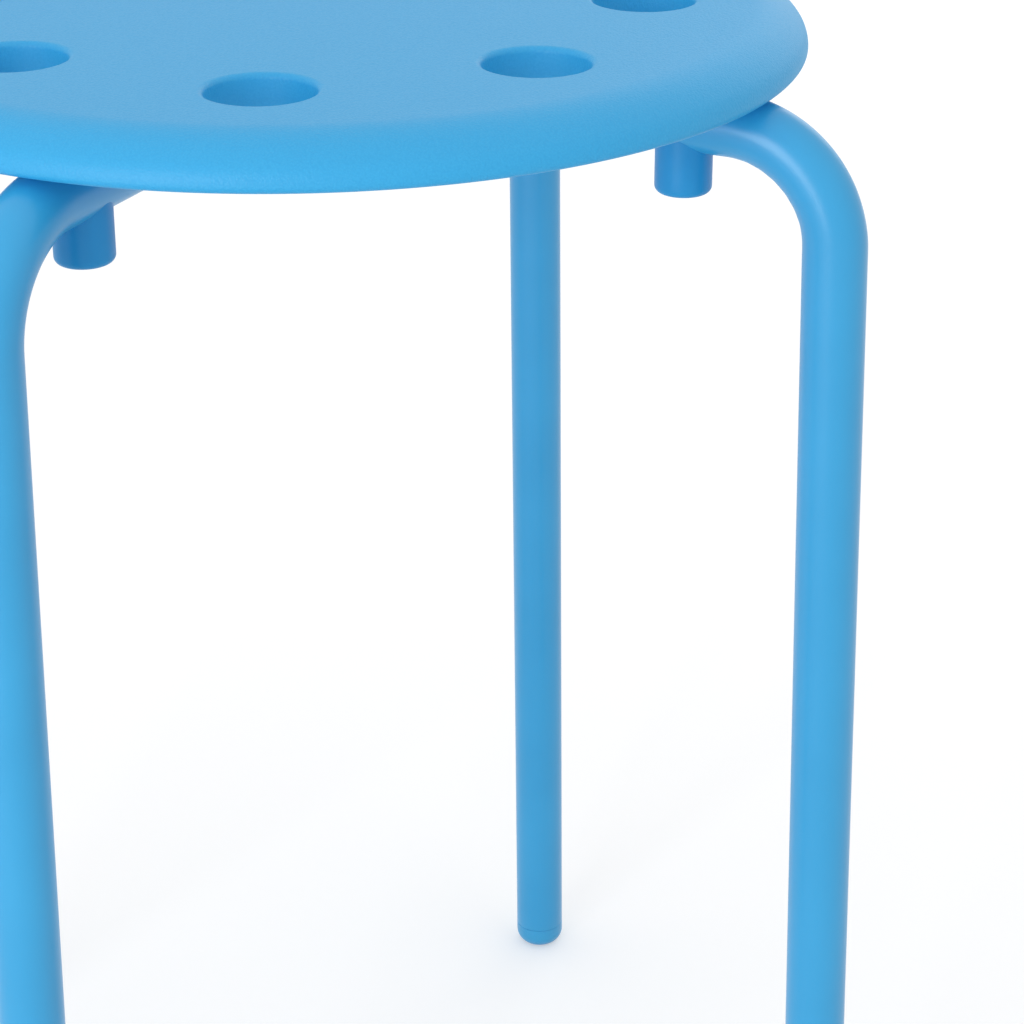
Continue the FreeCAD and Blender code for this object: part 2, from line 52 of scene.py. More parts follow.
# Sizes shared by several pieces, read from the CAD model where a node's box gives them.
# Circles and centres are distances from the stool's axis.
seat_low, seat_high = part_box("seat_shell")
tube_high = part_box("frame_tube_through")[1]
SEAT_TOP = seat_high.z / MM
SEAT_RADIUS = seat_high.x / MM
RIM_BOTTOM = seat_low.z / MM
SEAT_WALL = 3
SKIN_BOTTOM = SEAT_TOP - SEAT_WALL
RIB_SETBACK = 0.5
RIB_BOTTOM = RIM_BOTTOM + RIB_SETBACK
TUBE_RADIUS = tube_high.y / MM
TUBE_WALL = 1.5
TUBE_BORE = TUBE_RADIUS - TUBE_WALL
ARM_AXIS = tube_high.z / MM - TUBE_RADIUS
BEND_RADIUS = 34
BEND_CENTRE = 138.8
LEG_SPLAY = math.radians(1.3)
WELD_GAP = 0.1
STUD_CIRCLE = 125.5
FOOT_HEIGHT = 9
PLATE_RADIUS = 42
PLATE_THICKNESS = 2.5
PLATE_SCREW_CIRCLE = 30

# Edges bent by more than this are shaded as edges
SHARP_ANGLE = math.radians(40)


def smooth_step(values):
    """0 to 1 with no slope at either end: 3t^2 - 2t^3."""
    t = np.clip(values, 0, 1)
    return t * t * (3 - 2 * t)


def arc(across, up, radius, first, last, steps):
    """Points of a circle's arc in a section, from the first angle to the last, in degrees."""
    angles = np.radians(np.linspace(first, last, steps + 1))
    return np.stack([across + radius * np.cos(angles), up + radius * np.sin(angles)], 1)


def run(first, last, steps):
    """Points evenly along a straight line of a section."""
    return np.linspace(first, last, steps + 1)


def turned(profile, angles, centre=(0.0, 0.0)):
    """Surface of revolution of points (r, h): x = cx + r cos a, y = cy + r sin a, z = h."""
    profile = np.asarray(profile, float)
    reach, height = profile[:, 0, None], profile[:, 1, None]
    return np.stack([
        centre[0] + reach * np.cos(angles),
        centre[1] + reach * np.sin(angles),
        height + 0 * angles[None, :],
    ], -1)


def full_circle(steps):
    """Angles once round, with the first repeated at the end so that a grid closes on itself."""
    return np.linspace(0, 2 * math.pi, steps + 1)


def on_circle(radius, degrees):
    """x and y of the point at an angle on a circle round the stool's axis."""
    return radius * math.cos(math.radians(degrees)), radius * math.sin(math.radians(degrees))


def turn_about_z(points, degrees):
    """Points turned round the stool's axis: x' = x cos a - y sin a, y' = x sin a + y cos a."""
    c, s = math.cos(math.radians(degrees)), math.sin(math.radians(degrees))
    return points @ np.array([[c, s, 0], [-s, c, 0], [0, 0, 1]])


def grid_faces(rows, columns, offset):
    """Quads between neighbouring rows and columns of one grid of points."""
    corner = (np.arange(rows - 1)[:, None] * columns + np.arange(columns - 1)).ravel() + offset
    return np.stack([corner, corner + 1, corner + columns + 1, corner + columns], 1)


def add_piece(name, grids, materials, nodes=(), material_of=None):
    """Mesh from grids of points in millimetres, welded where they meet, faces turned outwards.
    material_of gives each grid's place in the list of materials."""
    merge_within, collapse_within = 0.002 * MM, 0.001 * MM
    points, faces, finish_index, offset = [], [], [], 0
    for number, grid in enumerate(grids):
        rows, columns = grid.shape[:2]
        quads = grid_faces(rows, columns, offset)
        points.append(grid.reshape(-1, 3) * MM)
        faces.append(quads)
        finish_index.append(np.full(len(quads), material_of[number] if material_of else 0))
        offset += rows * columns
    points, faces = np.concatenate(points), np.concatenate(faces)
    finish_index = np.concatenate(finish_index)
    mesh = bpy.data.meshes.new(name)
    mesh.vertices.add(len(points))
    mesh.vertices.foreach_set("co", points.ravel())
    mesh.loops.add(faces.size)
    mesh.loops.foreach_set("vertex_index", faces.ravel())
    mesh.polygons.add(len(faces))
    mesh.polygons.foreach_set("loop_start", np.arange(len(faces)) * 4)
    mesh.polygons.foreach_set("material_index", finish_index)
    mesh.update(calc_edges=True)
    shape = bmesh.new()
    shape.from_mesh(mesh)
    bmesh.ops.remove_doubles(shape, verts=shape.verts, dist=merge_within)
    bmesh.ops.dissolve_degenerate(shape, edges=shape.edges, dist=collapse_within)
    bmesh.ops.recalc_face_normals(shape, faces=shape.faces)
    shape.to_mesh(mesh)
    shape.free()
    mesh.shade_smooth()
    mesh.set_sharp_from_angle(angle=SHARP_ANGLE)
    for material in materials:
        mesh.materials.append(material)
    piece = bpy.data.objects.new(name, mesh)
    bpy.context.scene.collection.objects.link(piece)
    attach(piece, "root")
    if nodes:
        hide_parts(*nodes)


# Materials
# A noise or cell of scale S is 1/S metres across, and a wave of scale S repeats every 2 pi/(20 S).

def srgb(text):
    """Hex colour as it looks on a screen, turned to the linear values a shader works in."""
    values = np.array([int(text[i:i + 2], 16) for i in (0, 2, 4)]) / 255
    linear = np.where(values <= 0.04045, values / 12.92, ((values + 0.055) / 1.055) ** 2.4)
    return (*linear.tolist(), 1.0)


def node(tree, kind, inputs=None, **settings):
    """Adds a node with its settings; each input is a value or another node's output."""
    made = tree.nodes.new(kind)
    for key, value in settings.items():
        setattr(made, key, value)
    for key, value in (inputs or {}).items():
        if isinstance(value, bpy.types.NodeSocket):
            tree.links.new(value, made.inputs[key])
        else:
            made.inputs[key].default_value = value
    return made


def new_material(name):
    """Empty node material, its output node, and a point's place on the object in metres."""
    material = bpy.data.materials.new(name)
    material.use_nodes = True
    tree = material.node_tree
    tree.nodes.clear()
    output = node(tree, "ShaderNodeOutputMaterial")
    place = node(tree, "ShaderNodeTexCoord").outputs["Object"]
    return material, tree, output, place


def shade_between(tree, pattern, low, high, dark, light):
    """Colour that goes from dark to light as the pattern goes from low to high."""
    span = node(tree, "ShaderNodeMapRange", {
        "Value": pattern, "From Min": low, "From Max": high})
    return node(tree, "ShaderNodeMixRGB", {
        "Fac": span.outputs["Result"], "Color1": dark, "Color2": light}).outputs["Color"]


def moulded_polypropylene():
    """Polypropylene from a spark-eroded mould: matt, with a pebble grain. The real grain is about
    0.4 mm across, and is drawn at 0.6 mm (scale 1700) so that it shows. It breaks up the gloss, so
    the flat top looks paler at a low angle and the rim deeper."""
    material, tree, output, place = new_material("moulded_polypropylene")
    pebbles = node(tree, "ShaderNodeTexVoronoi", {
        "Vector": place, "Scale": 1700, "Smoothness": 0.5, "Randomness": 1.0}, feature="SMOOTH_F1")
    clouds = node(tree, "ShaderNodeTexNoise", {
        "Vector": place, "Scale": 1000, "Detail": 2.0, "Roughness": 0.5})
    height = node(tree, "ShaderNodeMath", {
        0: pebbles.outputs["Distance"], 1: clouds.outputs["Fac"]}, operation="ADD")
    bump = node(tree, "ShaderNodeBump", {
        "Strength": 0.6, "Distance": 0.13 * MM, "Height": height.outputs[0]})
    middle, edge = 0.1, 0.75
    colour = shade_between(
        tree, pebbles.outputs["Distance"], middle, edge, srgb("35ACE4"), srgb("2FA6E0"))
    rough = node(tree, "ShaderNodeMapRange", {
        "Value": pebbles.outputs["Distance"], "From Min": middle, "From Max": edge,
        "To Min": 0.44, "To Max": 0.5})
    shader = node(tree, "ShaderNodeBsdfPrincipled", {
        "Base Color": colour, "Roughness": rough.outputs["Result"], "IOR": 1.49,
        "Specular IOR Level": 0.45, "Normal": bump.outputs["Normal"]})
    tree.links.new(shader.outputs[0], output.inputs["Surface"])
    return material


def milled_polypropylene():
    """The same plastic on the ribbed side, where the mould is only milled: smoother and a bit
    shinier, with faint cutter marks in rings 1.5 mm apart (scale 210)."""
    material, tree, output, place = new_material("milled_mould_polypropylene")
    marks = node(tree, "ShaderNodeTexWave", {
        "Vector": place, "Scale": 210, "Distortion": 0.4, "Detail": 1.0}, rings_direction="Z",
        wave_type="RINGS")
    bump = node(tree, "ShaderNodeBump", {
        "Strength": 0.12, "Distance": 0.05 * MM, "Height": marks.outputs["Fac"]})
    clouds = node(tree, "ShaderNodeTexNoise", {"Vector": place, "Scale": 30, "Detail": 3.0})
    colour = shade_between(tree, clouds.outputs["Fac"], 0.3, 0.7, srgb("30A5DE"), srgb("35AAE3"))
    shader = node(tree, "ShaderNodeBsdfPrincipled", {
        "Base Color": colour, "Roughness": 0.36, "IOR": 1.49, "Normal": bump.outputs["Normal"]})
    tree.links.new(shader.outputs[0], output.inputs["Surface"])
    return material


def powder_coat():
    """Polyester powder coat baked on steel: soft gloss over a low orange peel 2.5 mm across (scale
    400), and a colour that drifts very slightly over 45 mm (scale 22)."""
    material, tree, output, place = new_material("polyester_powder_coat")
    peel = node(tree, "ShaderNodeTexNoise", {
        "Vector": place, "Scale": 400, "Detail": 1.5, "Roughness": 0.4})
    bump = node(tree, "ShaderNodeBump", {
        "Strength": 0.2, "Distance": 0.12 * MM, "Height": peel.outputs["Fac"]})
    drift = node(tree, "ShaderNodeTexNoise", {"Vector": place, "Scale": 22, "Detail": 2.0})
    colour = shade_between(tree, drift.outputs["Fac"], 0.3, 0.7, srgb("2DA0D8"), srgb("32A5DD"))
    rough = node(tree, "ShaderNodeMapRange", {
        "Value": drift.outputs["Fac"], "From Min": 0.3, "From Max": 0.7,
        "To Min": 0.29, "To Max": 0.34})
    shader = node(tree, "ShaderNodeBsdfPrincipled", {
        "Base Color": colour, "Roughness": rough.outputs["Result"], "IOR": 1.5,
        "Specular IOR Level": 0.55, "Normal": bump.outputs["Normal"]})
    tree.links.new(shader.outputs[0], output.inputs["Surface"])
    return material


def moulded_nylon(name, deep, pale, rough, gloss):
    """Nylon from a polished mould: smooth, with flow clouding 11 mm across (scale 90) that hardly
    shows, and a skin with a faint unevenness of 1.4 mm (scale 700)."""
    material, tree, output, place = new_material(name)
    clouds = node(tree, "ShaderNodeTexNoise", {"Vector": place, "Scale": 90, "Detail": 3.0})
    skin = node(tree, "ShaderNodeTexNoise", {"Vector": place, "Scale": 700, "Detail": 2.0})
    bump = node(tree, "ShaderNodeBump", {
        "Strength": 0.1, "Distance": 0.06 * MM, "Height": skin.outputs["Fac"]})
    colour = shade_between(tree, clouds.outputs["Fac"], 0.3, 0.7, srgb(deep), srgb(pale))
    shader = node(tree, "ShaderNodeBsdfPrincipled", {
        "Base Color": colour, "Roughness": rough, "IOR": 1.53, "Specular IOR Level": gloss,
        "Normal": bump.outputs["Normal"]})
    tree.links.new(shader.outputs[0], output.inputs["Surface"])
    return material


def turned_metal(name, dark, light, rough_low, rough_high):
    """Metal turned on a lathe: fine rings round the axis. Real ones are about 0.1 mm apart, and are
    drawn 0.35 mm apart (scale 900) so that they show."""
    material, tree, output, place = new_material(name)
    rings = node(tree, "ShaderNodeTexWave", {
        "Vector": place, "Scale": 900, "Distortion": 0.6, "Detail": 1.0}, bands_direction="Z")
    bump = node(tree, "ShaderNodeBump", {
        "Strength": 0.15, "Distance": 0.04 * MM, "Height": rings.outputs["Fac"]})
    clouds = node(tree, "ShaderNodeTexNoise", {"Vector": place, "Scale": 260, "Detail": 3.0})
    colour = shade_between(tree, clouds.outputs["Fac"], 0.3, 0.7, srgb(dark), srgb(light))
    rough = node(tree, "ShaderNodeMapRange", {
        "Value": clouds.outputs["Fac"], "From Min": 0.3, "From Max": 0.7,
        "To Min": rough_low, "To Max": rough_high})
    shader = node(tree, "ShaderNodeBsdfPrincipled", {
        "Base Color": colour, "Metallic": 1.0, "Roughness": rough.outputs["Result"],
        "Normal": bump.outputs["Normal"]})
    tree.links.new(shader.outputs[0], output.inputs["Surface"])
    return material


grained_plastic = moulded_polypropylene()
ribbed_plastic = milled_polypropylene()
enamel = powder_coat()
# The studs get a darker, deeper blue copy of the feet's nylon: painted shade for the shade under
# the seat, where they sit.
stud_nylon_painted_shade = moulded_nylon("moulded_nylon", "1C93D1", "2298D6", rough=0.4, gloss=0.3)
foot_nylon = moulded_nylon("moulded_foot_nylon", "2EA0D6", "33A5DB", rough=0.34, gloss=0.55)
zinc = turned_metal("zinc_plated_steel", "B9BDC2", "CDD0D4", rough_low=0.29, rough_high=0.38)
brass = turned_metal("turned_brass", "C7A052", "D9B86A", rough_low=0.29, rough_high=0.37)

# Seat shell

HOLE_COUNT = 8
HOLE_CIRCLE = 104
HOLE_RADIUS = 15.5
HOLE_ROUNDING = 1.8
COLLAR_WALL = 2.5
COLLAR_RADIUS = HOLE_RADIUS + COLLAR_WALL
HOLED_RING = (82, 126)  # inner and outer radius of the ring of skin that holds the holes
SECTOR_STEPS = 32
SIDE_STEPS = 12
RIM_LIP = 5  # thickness of the rim's lower edge
RIM_HOLLOW = 8  # radius of the hollow corner between skin and rim
RIB_THICKNESS = 2.2
INNER_RING, MIDDLE_RING = 48, 78
ROOT_DEPTH = 0.4  # how far ribs and bosses reach up into the skin


def seat_rim_section():
    """Section from the flat top over the rim to the underside: crown arc, nose arc, lower corner,
    lip, inner wall and hollow corner. The crown arc meets the top and the nose arc smoothly."""
    roll, nose, corner, lip_edge = 17.2, 8, 2.2, 0.5
    widest = RIM_BOTTOM + corner
    rise = SEAT_TOP - widest
    crown = (roll ** 2 + rise ** 2 - 2 * roll * nose) / (2 * (rise - nose))
    turn = math.degrees(math.atan2(crown - rise, roll - nose))
    inside = SEAT_RADIUS - RIM_LIP
    hollow_centre = inside - RIM_HOLLOW
    return np.concatenate([
        run((HOLED_RING[1], SEAT_TOP), (SEAT_RADIUS - roll, SEAT_TOP), 5)[:-1],
        arc(SEAT_RADIUS - roll, SEAT_TOP - crown, crown, 90, turn, 18)[:-1],
        arc(SEAT_RADIUS - nose, widest, nose, turn, 0, 18)[:-1],
        arc(SEAT_RADIUS - corner, widest, corner, 0, -90, 10),
        arc(inside + lip_edge, RIM_BOTTOM + lip_edge, lip_edge, -90, -180, 4),
        arc(hollow_centre, SKIN_BOTTOM - RIM_HOLLOW, RIM_HOLLOW, 0, 90, 10),
        run((hollow_centre, SKIN_BOTTOM), (HOLED_RING[1], SKIN_BOTTOM), 3)[1:],
    ])


def sector_edge(inner, outer, half, side_steps, arc_steps):
    """Closed loop round one sector of a ring, as (x, y): inner arc, side, outer arc, side."""
    inner_angles = np.linspace(-half, half, arc_steps + 1)
    along = np.linspace(inner, outer, side_steps + 1)
    reach = np.concatenate([
        np.full(arc_steps, inner), along[:-1], np.full(arc_steps, outer), along[::-1]])
    angle = np.concatenate([
        inner_angles[:-1], np.full(side_steps, half), inner_angles[::-1][:-1],
        np.full(side_steps + 1, -half)])
    return np.stack([reach * np.cos(angle), reach * np.sin(angle)], 1)


def holes_in_ring(ring, count, circle, wall, first, side_steps, arc_steps):
    """One grid per sector. Straight lines run from the sector's edge to the hole, down its wall,
    which is a list of (radius, height) rows, and back out to the sector's edge below."""
    edge = sector_edge(*ring, math.pi / count, side_steps, arc_steps)
    middle = np.array([circle, 0.0])
    away = edge - middle
    away /= np.linalg.norm(away, axis=1, keepdims=True)
    shares = np.array([0, 0.3, 0.6, 0.85])[:, None, None]
    wall = np.asarray(wall, float)
    rows = []
    for radius, height, order in ((*wall[0], 1), (*wall[-1], -1)):
        flat = edge + shares * (middle + radius * away - edge)
        sheet = np.concatenate([flat, np.full((*flat.shape[:2], 1), height)], 2)
        rows.append(sheet[::order])
    loop = middle + wall[:, 0, None, None] * away
    tube = np.concatenate([loop, wall[:, 1, None, None] + 0 * loop[..., :1]], 2)
    sector = np.concatenate([rows[0], tube, rows[1]])
    return [turn_about_z(sector, first + 360 * k / count) for k in range(count)]


def finger_hole_wall():
    """Rows from the rounded upper edge down the bore, round the collar's foot and up outside it."""
    edge, foot, root = HOLE_ROUNDING, 0.5, 0.9
    beside_edge, below_edge, above_foot, beside_root = 0.35, 0.4, 0.3, 0.4
    bore_top, bore_end = SEAT_TOP - edge - below_edge, RIB_BOTTOM + foot + above_foot
    return np.concatenate([
        [(HOLE_RADIUS + edge + beside_edge, SEAT_TOP)],
        arc(HOLE_RADIUS + edge, SEAT_TOP - edge, edge, 90, 180, 9),
        run((HOLE_RADIUS, bore_top), (HOLE_RADIUS, bore_end), 4),
        arc(HOLE_RADIUS + foot, RIB_BOTTOM + foot, foot, 180, 270, 3),
        arc(COLLAR_RADIUS - foot, RIB_BOTTOM + foot, foot, -90, 0, 3),
        arc(COLLAR_RADIUS + root, SKIN_BOTTOM - root, root, 180, 90, 3),
        [(COLLAR_RADIUS + root + beside_root, SKIN_BOTTOM)],
    ])


def rib_section():
    """Section of a rib, from one root in the skin round its lower edge to the other root."""
    half, edge, root, beside_root = RIB_THICKNESS / 2, 0.4, 0.7, 0.1
    side = np.concatenate([
        [(half + root + beside_root, SKIN_BOTTOM + ROOT_DEPTH)],
        arc(half + root, SKIN_BOTTOM - root, root, 90, 180, 3),
        arc(half - edge, RIB_BOTTOM + edge, edge, 0, -90, 3),
    ])
    mirrored = side[::-1] * (-1, 1)
    return np.concatenate([side, mirrored, side[:1]])


def ring_rib(radius):
    """Rib's section turned round the stool's axis."""
    return turned(rib_section() + (radius, 0), full_circle(144))


def radial_rib(first, last, degrees):
    """Rib's section carried straight out from the first radius to the last, closed at both ends.
    Where the skin turns down into the rim, by hollow - sqrt(hollow^2 - past^2), the rib's height
    shrinks with it."""
    section = rib_section()
    corner = SEAT_RADIUS - RIM_LIP - RIM_HOLLOW
    under_flat = np.linspace(first, min(last, corner), 7)
    under_corner = np.linspace(corner, last, 8)[1:] if last > corner else []
    reach = np.concatenate([under_flat, under_corner])
    past = np.clip(reach - corner, 0, RIM_HOLLOW)
    ceiling = SKIN_BOTTOM - RIM_HOLLOW + np.sqrt(RIM_HOLLOW ** 2 - past ** 2)
    squeeze = ((ceiling - RIB_BOTTOM) / (SKIN_BOTTOM - RIB_BOTTOM))[:, None]
    reach = reach[:, None]
    sheet = np.stack([
        reach + 0 * section[None, :, 0], 0 * reach + section[None, :, 0],
        RIB_BOTTOM + squeeze * (section[None, :, 1] - RIB_BOTTOM)], -1)
    caps = [
        np.stack([outline, np.broadcast_to(outline.mean(0), outline.shape)])
        for outline in (sheet[0], sheet[-1])]
    return [turn_about_z(part, degrees) for part in (sheet, *caps)]


def boss(centre, bottom, outer, bore, depth):
    """Hollow post under the skin: down its outside, round its foot and up the closed bore."""
    edge, root = 0.4, 0.8
    profile = np.concatenate([
        [(0, SKIN_BOTTOM + ROOT_DEPTH), (outer + root, SKIN_BOTTOM + ROOT_DEPTH)],
        arc(outer + root, SKIN_BOTTOM - root, root, 90, 180, 3),
        arc(outer - edge, bottom + edge, edge, 0, -90, 3),
        arc(bore + edge / 2, bottom + edge / 2, edge / 2, -90, -180, 2),
        [(bore, bottom + depth), (0, bottom + depth)],
    ])
    return turned(profile, full_circle(40), centre)


def make_seat():
    """One closed shell with its holes and collars, and the rings, ribs and bosses grown into it."""
    around = full_circle(HOLE_COUNT * SECTOR_STEPS)
    outer_skin = [
        turned(run((0, SEAT_TOP), (HOLED_RING[0], SEAT_TOP), 8), around),
        turned(seat_rim_section(), around),
        *holes_in_ring(
            HOLED_RING, HOLE_COUNT, HOLE_CIRCLE, finger_hole_wall(), 180 / HOLE_COUNT,
            SIDE_STEPS, SECTOR_STEPS),
    ]
    underside = [
        turned(run((HOLED_RING[0], SKIN_BOTTOM), (0, SKIN_BOTTOM), 8), around),
        ring_rib(INNER_RING), ring_rib(MIDDLE_RING),
    ]
    # Ribs run 0.1 mm into the rim's lip, and end 5.5 mm from a boss's middle, inside its wall
    into_rim, into_boss = SEAT_RADIUS - RIM_LIP + 0.1, 5.5
    plate_top = RIM_BOTTOM + PLATE_THICKNESS
    for degrees in QUARTER_TURNS:
        between = degrees + 45
        underside += radial_rib(INNER_RING, into_rim, between)
        underside += radial_rib(INNER_RING, STUD_CIRCLE - into_boss, degrees)
        underside += radial_rib(STUD_CIRCLE + into_boss, into_rim, degrees)
        stud_place = on_circle(STUD_CIRCLE, degrees)
        underside.append(boss(stud_place, RIM_BOTTOM, outer=7.5, bore=3.45, depth=9.5))
        screw_place = on_circle(PLATE_SCREW_CIRCLE, between)
        underside.append(boss(screw_place, plate_top, outer=6, bore=2.05, depth=7))
    finish_of = [0] * len(outer_skin) + [1] * len(underside)
    add_piece(
        "seat_moulding", outer_skin + underside, (grained_plastic, ribbed_plastic),
        ("seat_shell",), material_of=finish_of)


# Frame tubes

ROUND_STEPS = 96
STRAIGHT_STEP = 8
BEND_STEPS = 56
LEG_EDGE = 0.25  # rounding of the tube's cut end
LEG_END_HEIGHT = FOOT_HEIGHT * math.cos(LEG_SPLAY) + LEG_EDGE


def tube_path(start):
    """Stations from the arm's start out along X, round the shoulder and down the leg.
    Gives x, z, the outward direction's angle, and how far into the bend each station lies."""
    arm_steps = int((BEND_CENTRE - start) / STRAIGHT_STEP)
    x = np.linspace(start, BEND_CENTRE, arm_steps + 1)[:-1]
    z, angle, unbent = np.full(len(x), ARM_AXIS), np.full(len(x), math.pi / 2), np.zeros(len(x))
    bend = np.linspace(math.pi / 2, LEG_SPLAY, BEND_STEPS + 1)
    bend_x = BEND_CENTRE + BEND_RADIUS * np.cos(bend)
    bend_z = ARM_AXIS - BEND_RADIUS + BEND_RADIUS * np.sin(bend)
    share = np.linspace(0, 1, BEND_STEPS + 1)
    leg_steps = int((bend_z[-1] - LEG_END_HEIGHT) / STRAIGHT_STEP)
    leg_z = np.linspace(bend_z[-1], LEG_END_HEIGHT, leg_steps + 1)[1:]
    leg_x = bend_x[-1] + (bend_z[-1] - leg_z) * math.tan(LEG_SPLAY)
    return (
        np.concatenate([x, bend_x, leg_x]), np.concatenate([z, bend_z, leg_z]),
        np.concatenate([angle, bend, np.full(leg_steps, LEG_SPLAY)]),
        np.concatenate([unbent, share, np.ones(leg_steps)]),
    )


def pipe_skin(path, radius, round_angles):
    """Round section carried along the path: outward R sin a, across R cos a. In the bend it is a
    little flatter outward and half as much wider across, as a pulled tube is, with shallow pressure
    waves along the inner side. Both grow over the bend's first fifth and fade over its last."""
    x, z, angle, share = (values[:, None] for values in path)
    flattening, wave_height, wave_count, fade = 0.022, 0.04, 8, 1 / 5
    inside_bend = smooth_step(share / fade) * smooth_step((1 - share) / fade)
    flat = flattening * inside_bend
    inner_side = np.clip(-np.sin(round_angles), 0, 1) ** 2
    waves = wave_height * inside_bend * inner_side * np.cos(share * 2 * math.pi * wave_count)
    outward = (radius * (1 - flat) + waves) * np.sin(round_angles)
    across = radius * (1 + 0.5 * flat) * np.cos(round_angles)
    return np.stack([x + outward * np.cos(angle), across + 0 * x, z + outward * np.sin(angle)], -1)


def leg_end_rows(path, turn):
    """Outer skin, rounded lower edge and bore of the tube along one path, as rows of points.
    The edge lies e k further down and e (1 - sqrt(1 - k^2)) further in, for an edge e."""
    outer = pipe_skin(path, TUBE_RADIUS, turn)
    last = tuple(values[-1:] for values in path)
    lip = []
    for k in (0.35, 1.0):
        drop = LEG_EDGE * k
        lowered = (
            last[0] + drop * math.sin(LEG_SPLAY), last[1] - drop * math.cos(LEG_SPLAY), *last[2:])
        lip.append(pipe_skin(lowered, TUBE_RADIUS - LEG_EDGE * (1 - math.sqrt(1 - k * k)), turn))
    lip.append(pipe_skin(lowered, TUBE_BORE, turn))
    inner = pipe_skin(path, TUBE_BORE, turn)[::-1]
    return outer, lip, inner


def make_through_tube():
    """The full tube: one half's rows and the same rows mirrored, which join in the middle."""
    turn = full_circle(ROUND_STEPS)
    outer, lip, inner = leg_end_rows(tube_path(0), turn)
    half = np.concatenate([outer, *lip, inner])
    add_piece(
        "through_tube", [half, half * (-1, 1, 1)], (enamel,),
        ("frame_tube_through",))


def make_half_tube(name, node_name, degrees):
    """Arm and leg whose inner end is cut to the round of the full tube:
    x^2 + z^2 = (R + gap)^2 with z = R sin a, so the end lies at sqrt((R + gap)^2 - (R sin a)^2)."""
    turn = full_circle(ROUND_STEPS)
    straight_start = 16
    outer, lip, inner = leg_end_rows(tube_path(straight_start), turn)

    def coped(radius):
        reach = np.sqrt((TUBE_RADIUS + WELD_GAP) ** 2 - (radius * np.sin(turn)) ** 2)
        ring = np.stack([reach, radius * np.cos(turn), ARM_AXIS + radius * np.sin(turn)], -1)
        ahead = np.linspace(0, 1, 5)[:-1, None] * (straight_start - reach)
        return ring + np.stack([ahead, 0 * ahead, 0 * ahead], -1)

    rows = np.concatenate([coped(TUBE_RADIUS), outer, *lip, inner, coped(TUBE_BORE)[::-1]])
    closed = np.concatenate([rows, rows[:1]])
    add_piece(name, [turn_about_z(closed, degrees)], (enamel,), (node_name,))


def weld_bead(centres, away, size, ripples):
    """Bead carried along a line of points. With s the share of the way, its radius swells and falls
    by ripple_depth with |cos(pi ripples s)|, as the torch moved on, and tapers to nothing at both
    ends as sqrt(1 - (2 s - 1)^8). away holds the direction in which each point faces."""
    ripple_depth = 0.12
    share = np.linspace(0, 1, len(centres))
    taper = np.sqrt(np.clip(1 - (2 * share - 1) ** 8, 0, 1))
    swell = 1 - ripple_depth + ripple_depth * np.abs(np.cos(share * math.pi * ripples))
    radius = size * taper * swell
    along = np.gradient(centres, axis=0)
    along /= np.linalg.norm(along, axis=1, keepdims=True)
    side = np.cross(along, away)
    side /= np.linalg.norm(side, axis=1, keepdims=True)
    up = np.cross(side, along)
    turn = full_circle(14)[:, None]
    return centres[:, None] + radius[:, None, None] * (
        side[:, None] * np.cos(turn) + up[:, None] * np.sin(turn))


def make_welds():
    """Beads where the half tubes meet the full tube, along the corner x = R cos a, y = R cos a,
    z = R sin a on either side, and where the plate's round edge crosses the top of each arm."""
    lift = 0.5
    cope_radius, cope_reach, cope_bead = TUBE_RADIUS + lift, 50, 1.7
    angles = np.radians(np.linspace(-cope_reach, cope_reach, 61))
    for number, (degrees, side) in enumerate(((-90, 1), (-90, -1), (90, 1), (90, -1)), start=1):
        away = np.stack([np.cos(angles), side * np.cos(angles), np.sin(angles)], 1)
        bead = weld_bead(cope_radius * away + (0, 0, ARM_AXIS), away, cope_bead, ripples=15)
        add_piece(f"cope_weld_{number}", [turn_about_z(bead, degrees)], (enamel,))
    edge_radius, edge_reach, edge_bead, arm_fall = PLATE_RADIUS + 0.4, 9, 1.3, 22
    spread = np.radians(np.linspace(-edge_reach, edge_reach, 41))
    for number, degrees in enumerate(QUARTER_TURNS, start=1):
        centres = np.stack([
            edge_radius * np.cos(spread), edge_radius * np.sin(spread),
            RIM_BOTTOM + lift - arm_fall * spread ** 2], 1)
        bead = weld_bead(centres, (0, 0, 1.0), edge_bead, ripples=9)
        add_piece(f"plate_weld_{number}", [turn_about_z(bead, degrees)], (enamel,))


def make_plate():
    """Pressed disc with four screw holes and softened edges."""
    edge, bore, bevel, bevel_depth = 0.35, 2.25, 0.3, 0.2
    low, high = RIM_BOTTOM, RIM_BOTTOM + PLATE_THICKNESS
    ring, hole_count = (20, 38), 4
    around = full_circle(hole_count * SECTOR_STEPS)
    rim = np.concatenate([
        [(ring[1], high)], arc(PLATE_RADIUS - edge, high - edge, edge, 90, 0, 3),
        arc(PLATE_RADIUS - edge, low + edge, edge, 0, -90, 3), [(ring[1], low)],
    ])
    wall = [
        (bore + bevel, high), (bore, high - bevel_depth),
        (bore, low + bevel_depth), (bore + bevel, low)]
    grids = [
        turned([(0, high), (ring[0], high)], around), turned(rim, around),
        turned([(ring[0], low), (0, low)], around),
        *holes_in_ring(ring, hole_count, PLATE_SCREW_CIRCLE, wall, 45, 6, SECTOR_STEPS),
    ]
    add_piece("mounting_plate", grids, (enamel,), ("centre_plate",))


# Studs and feet

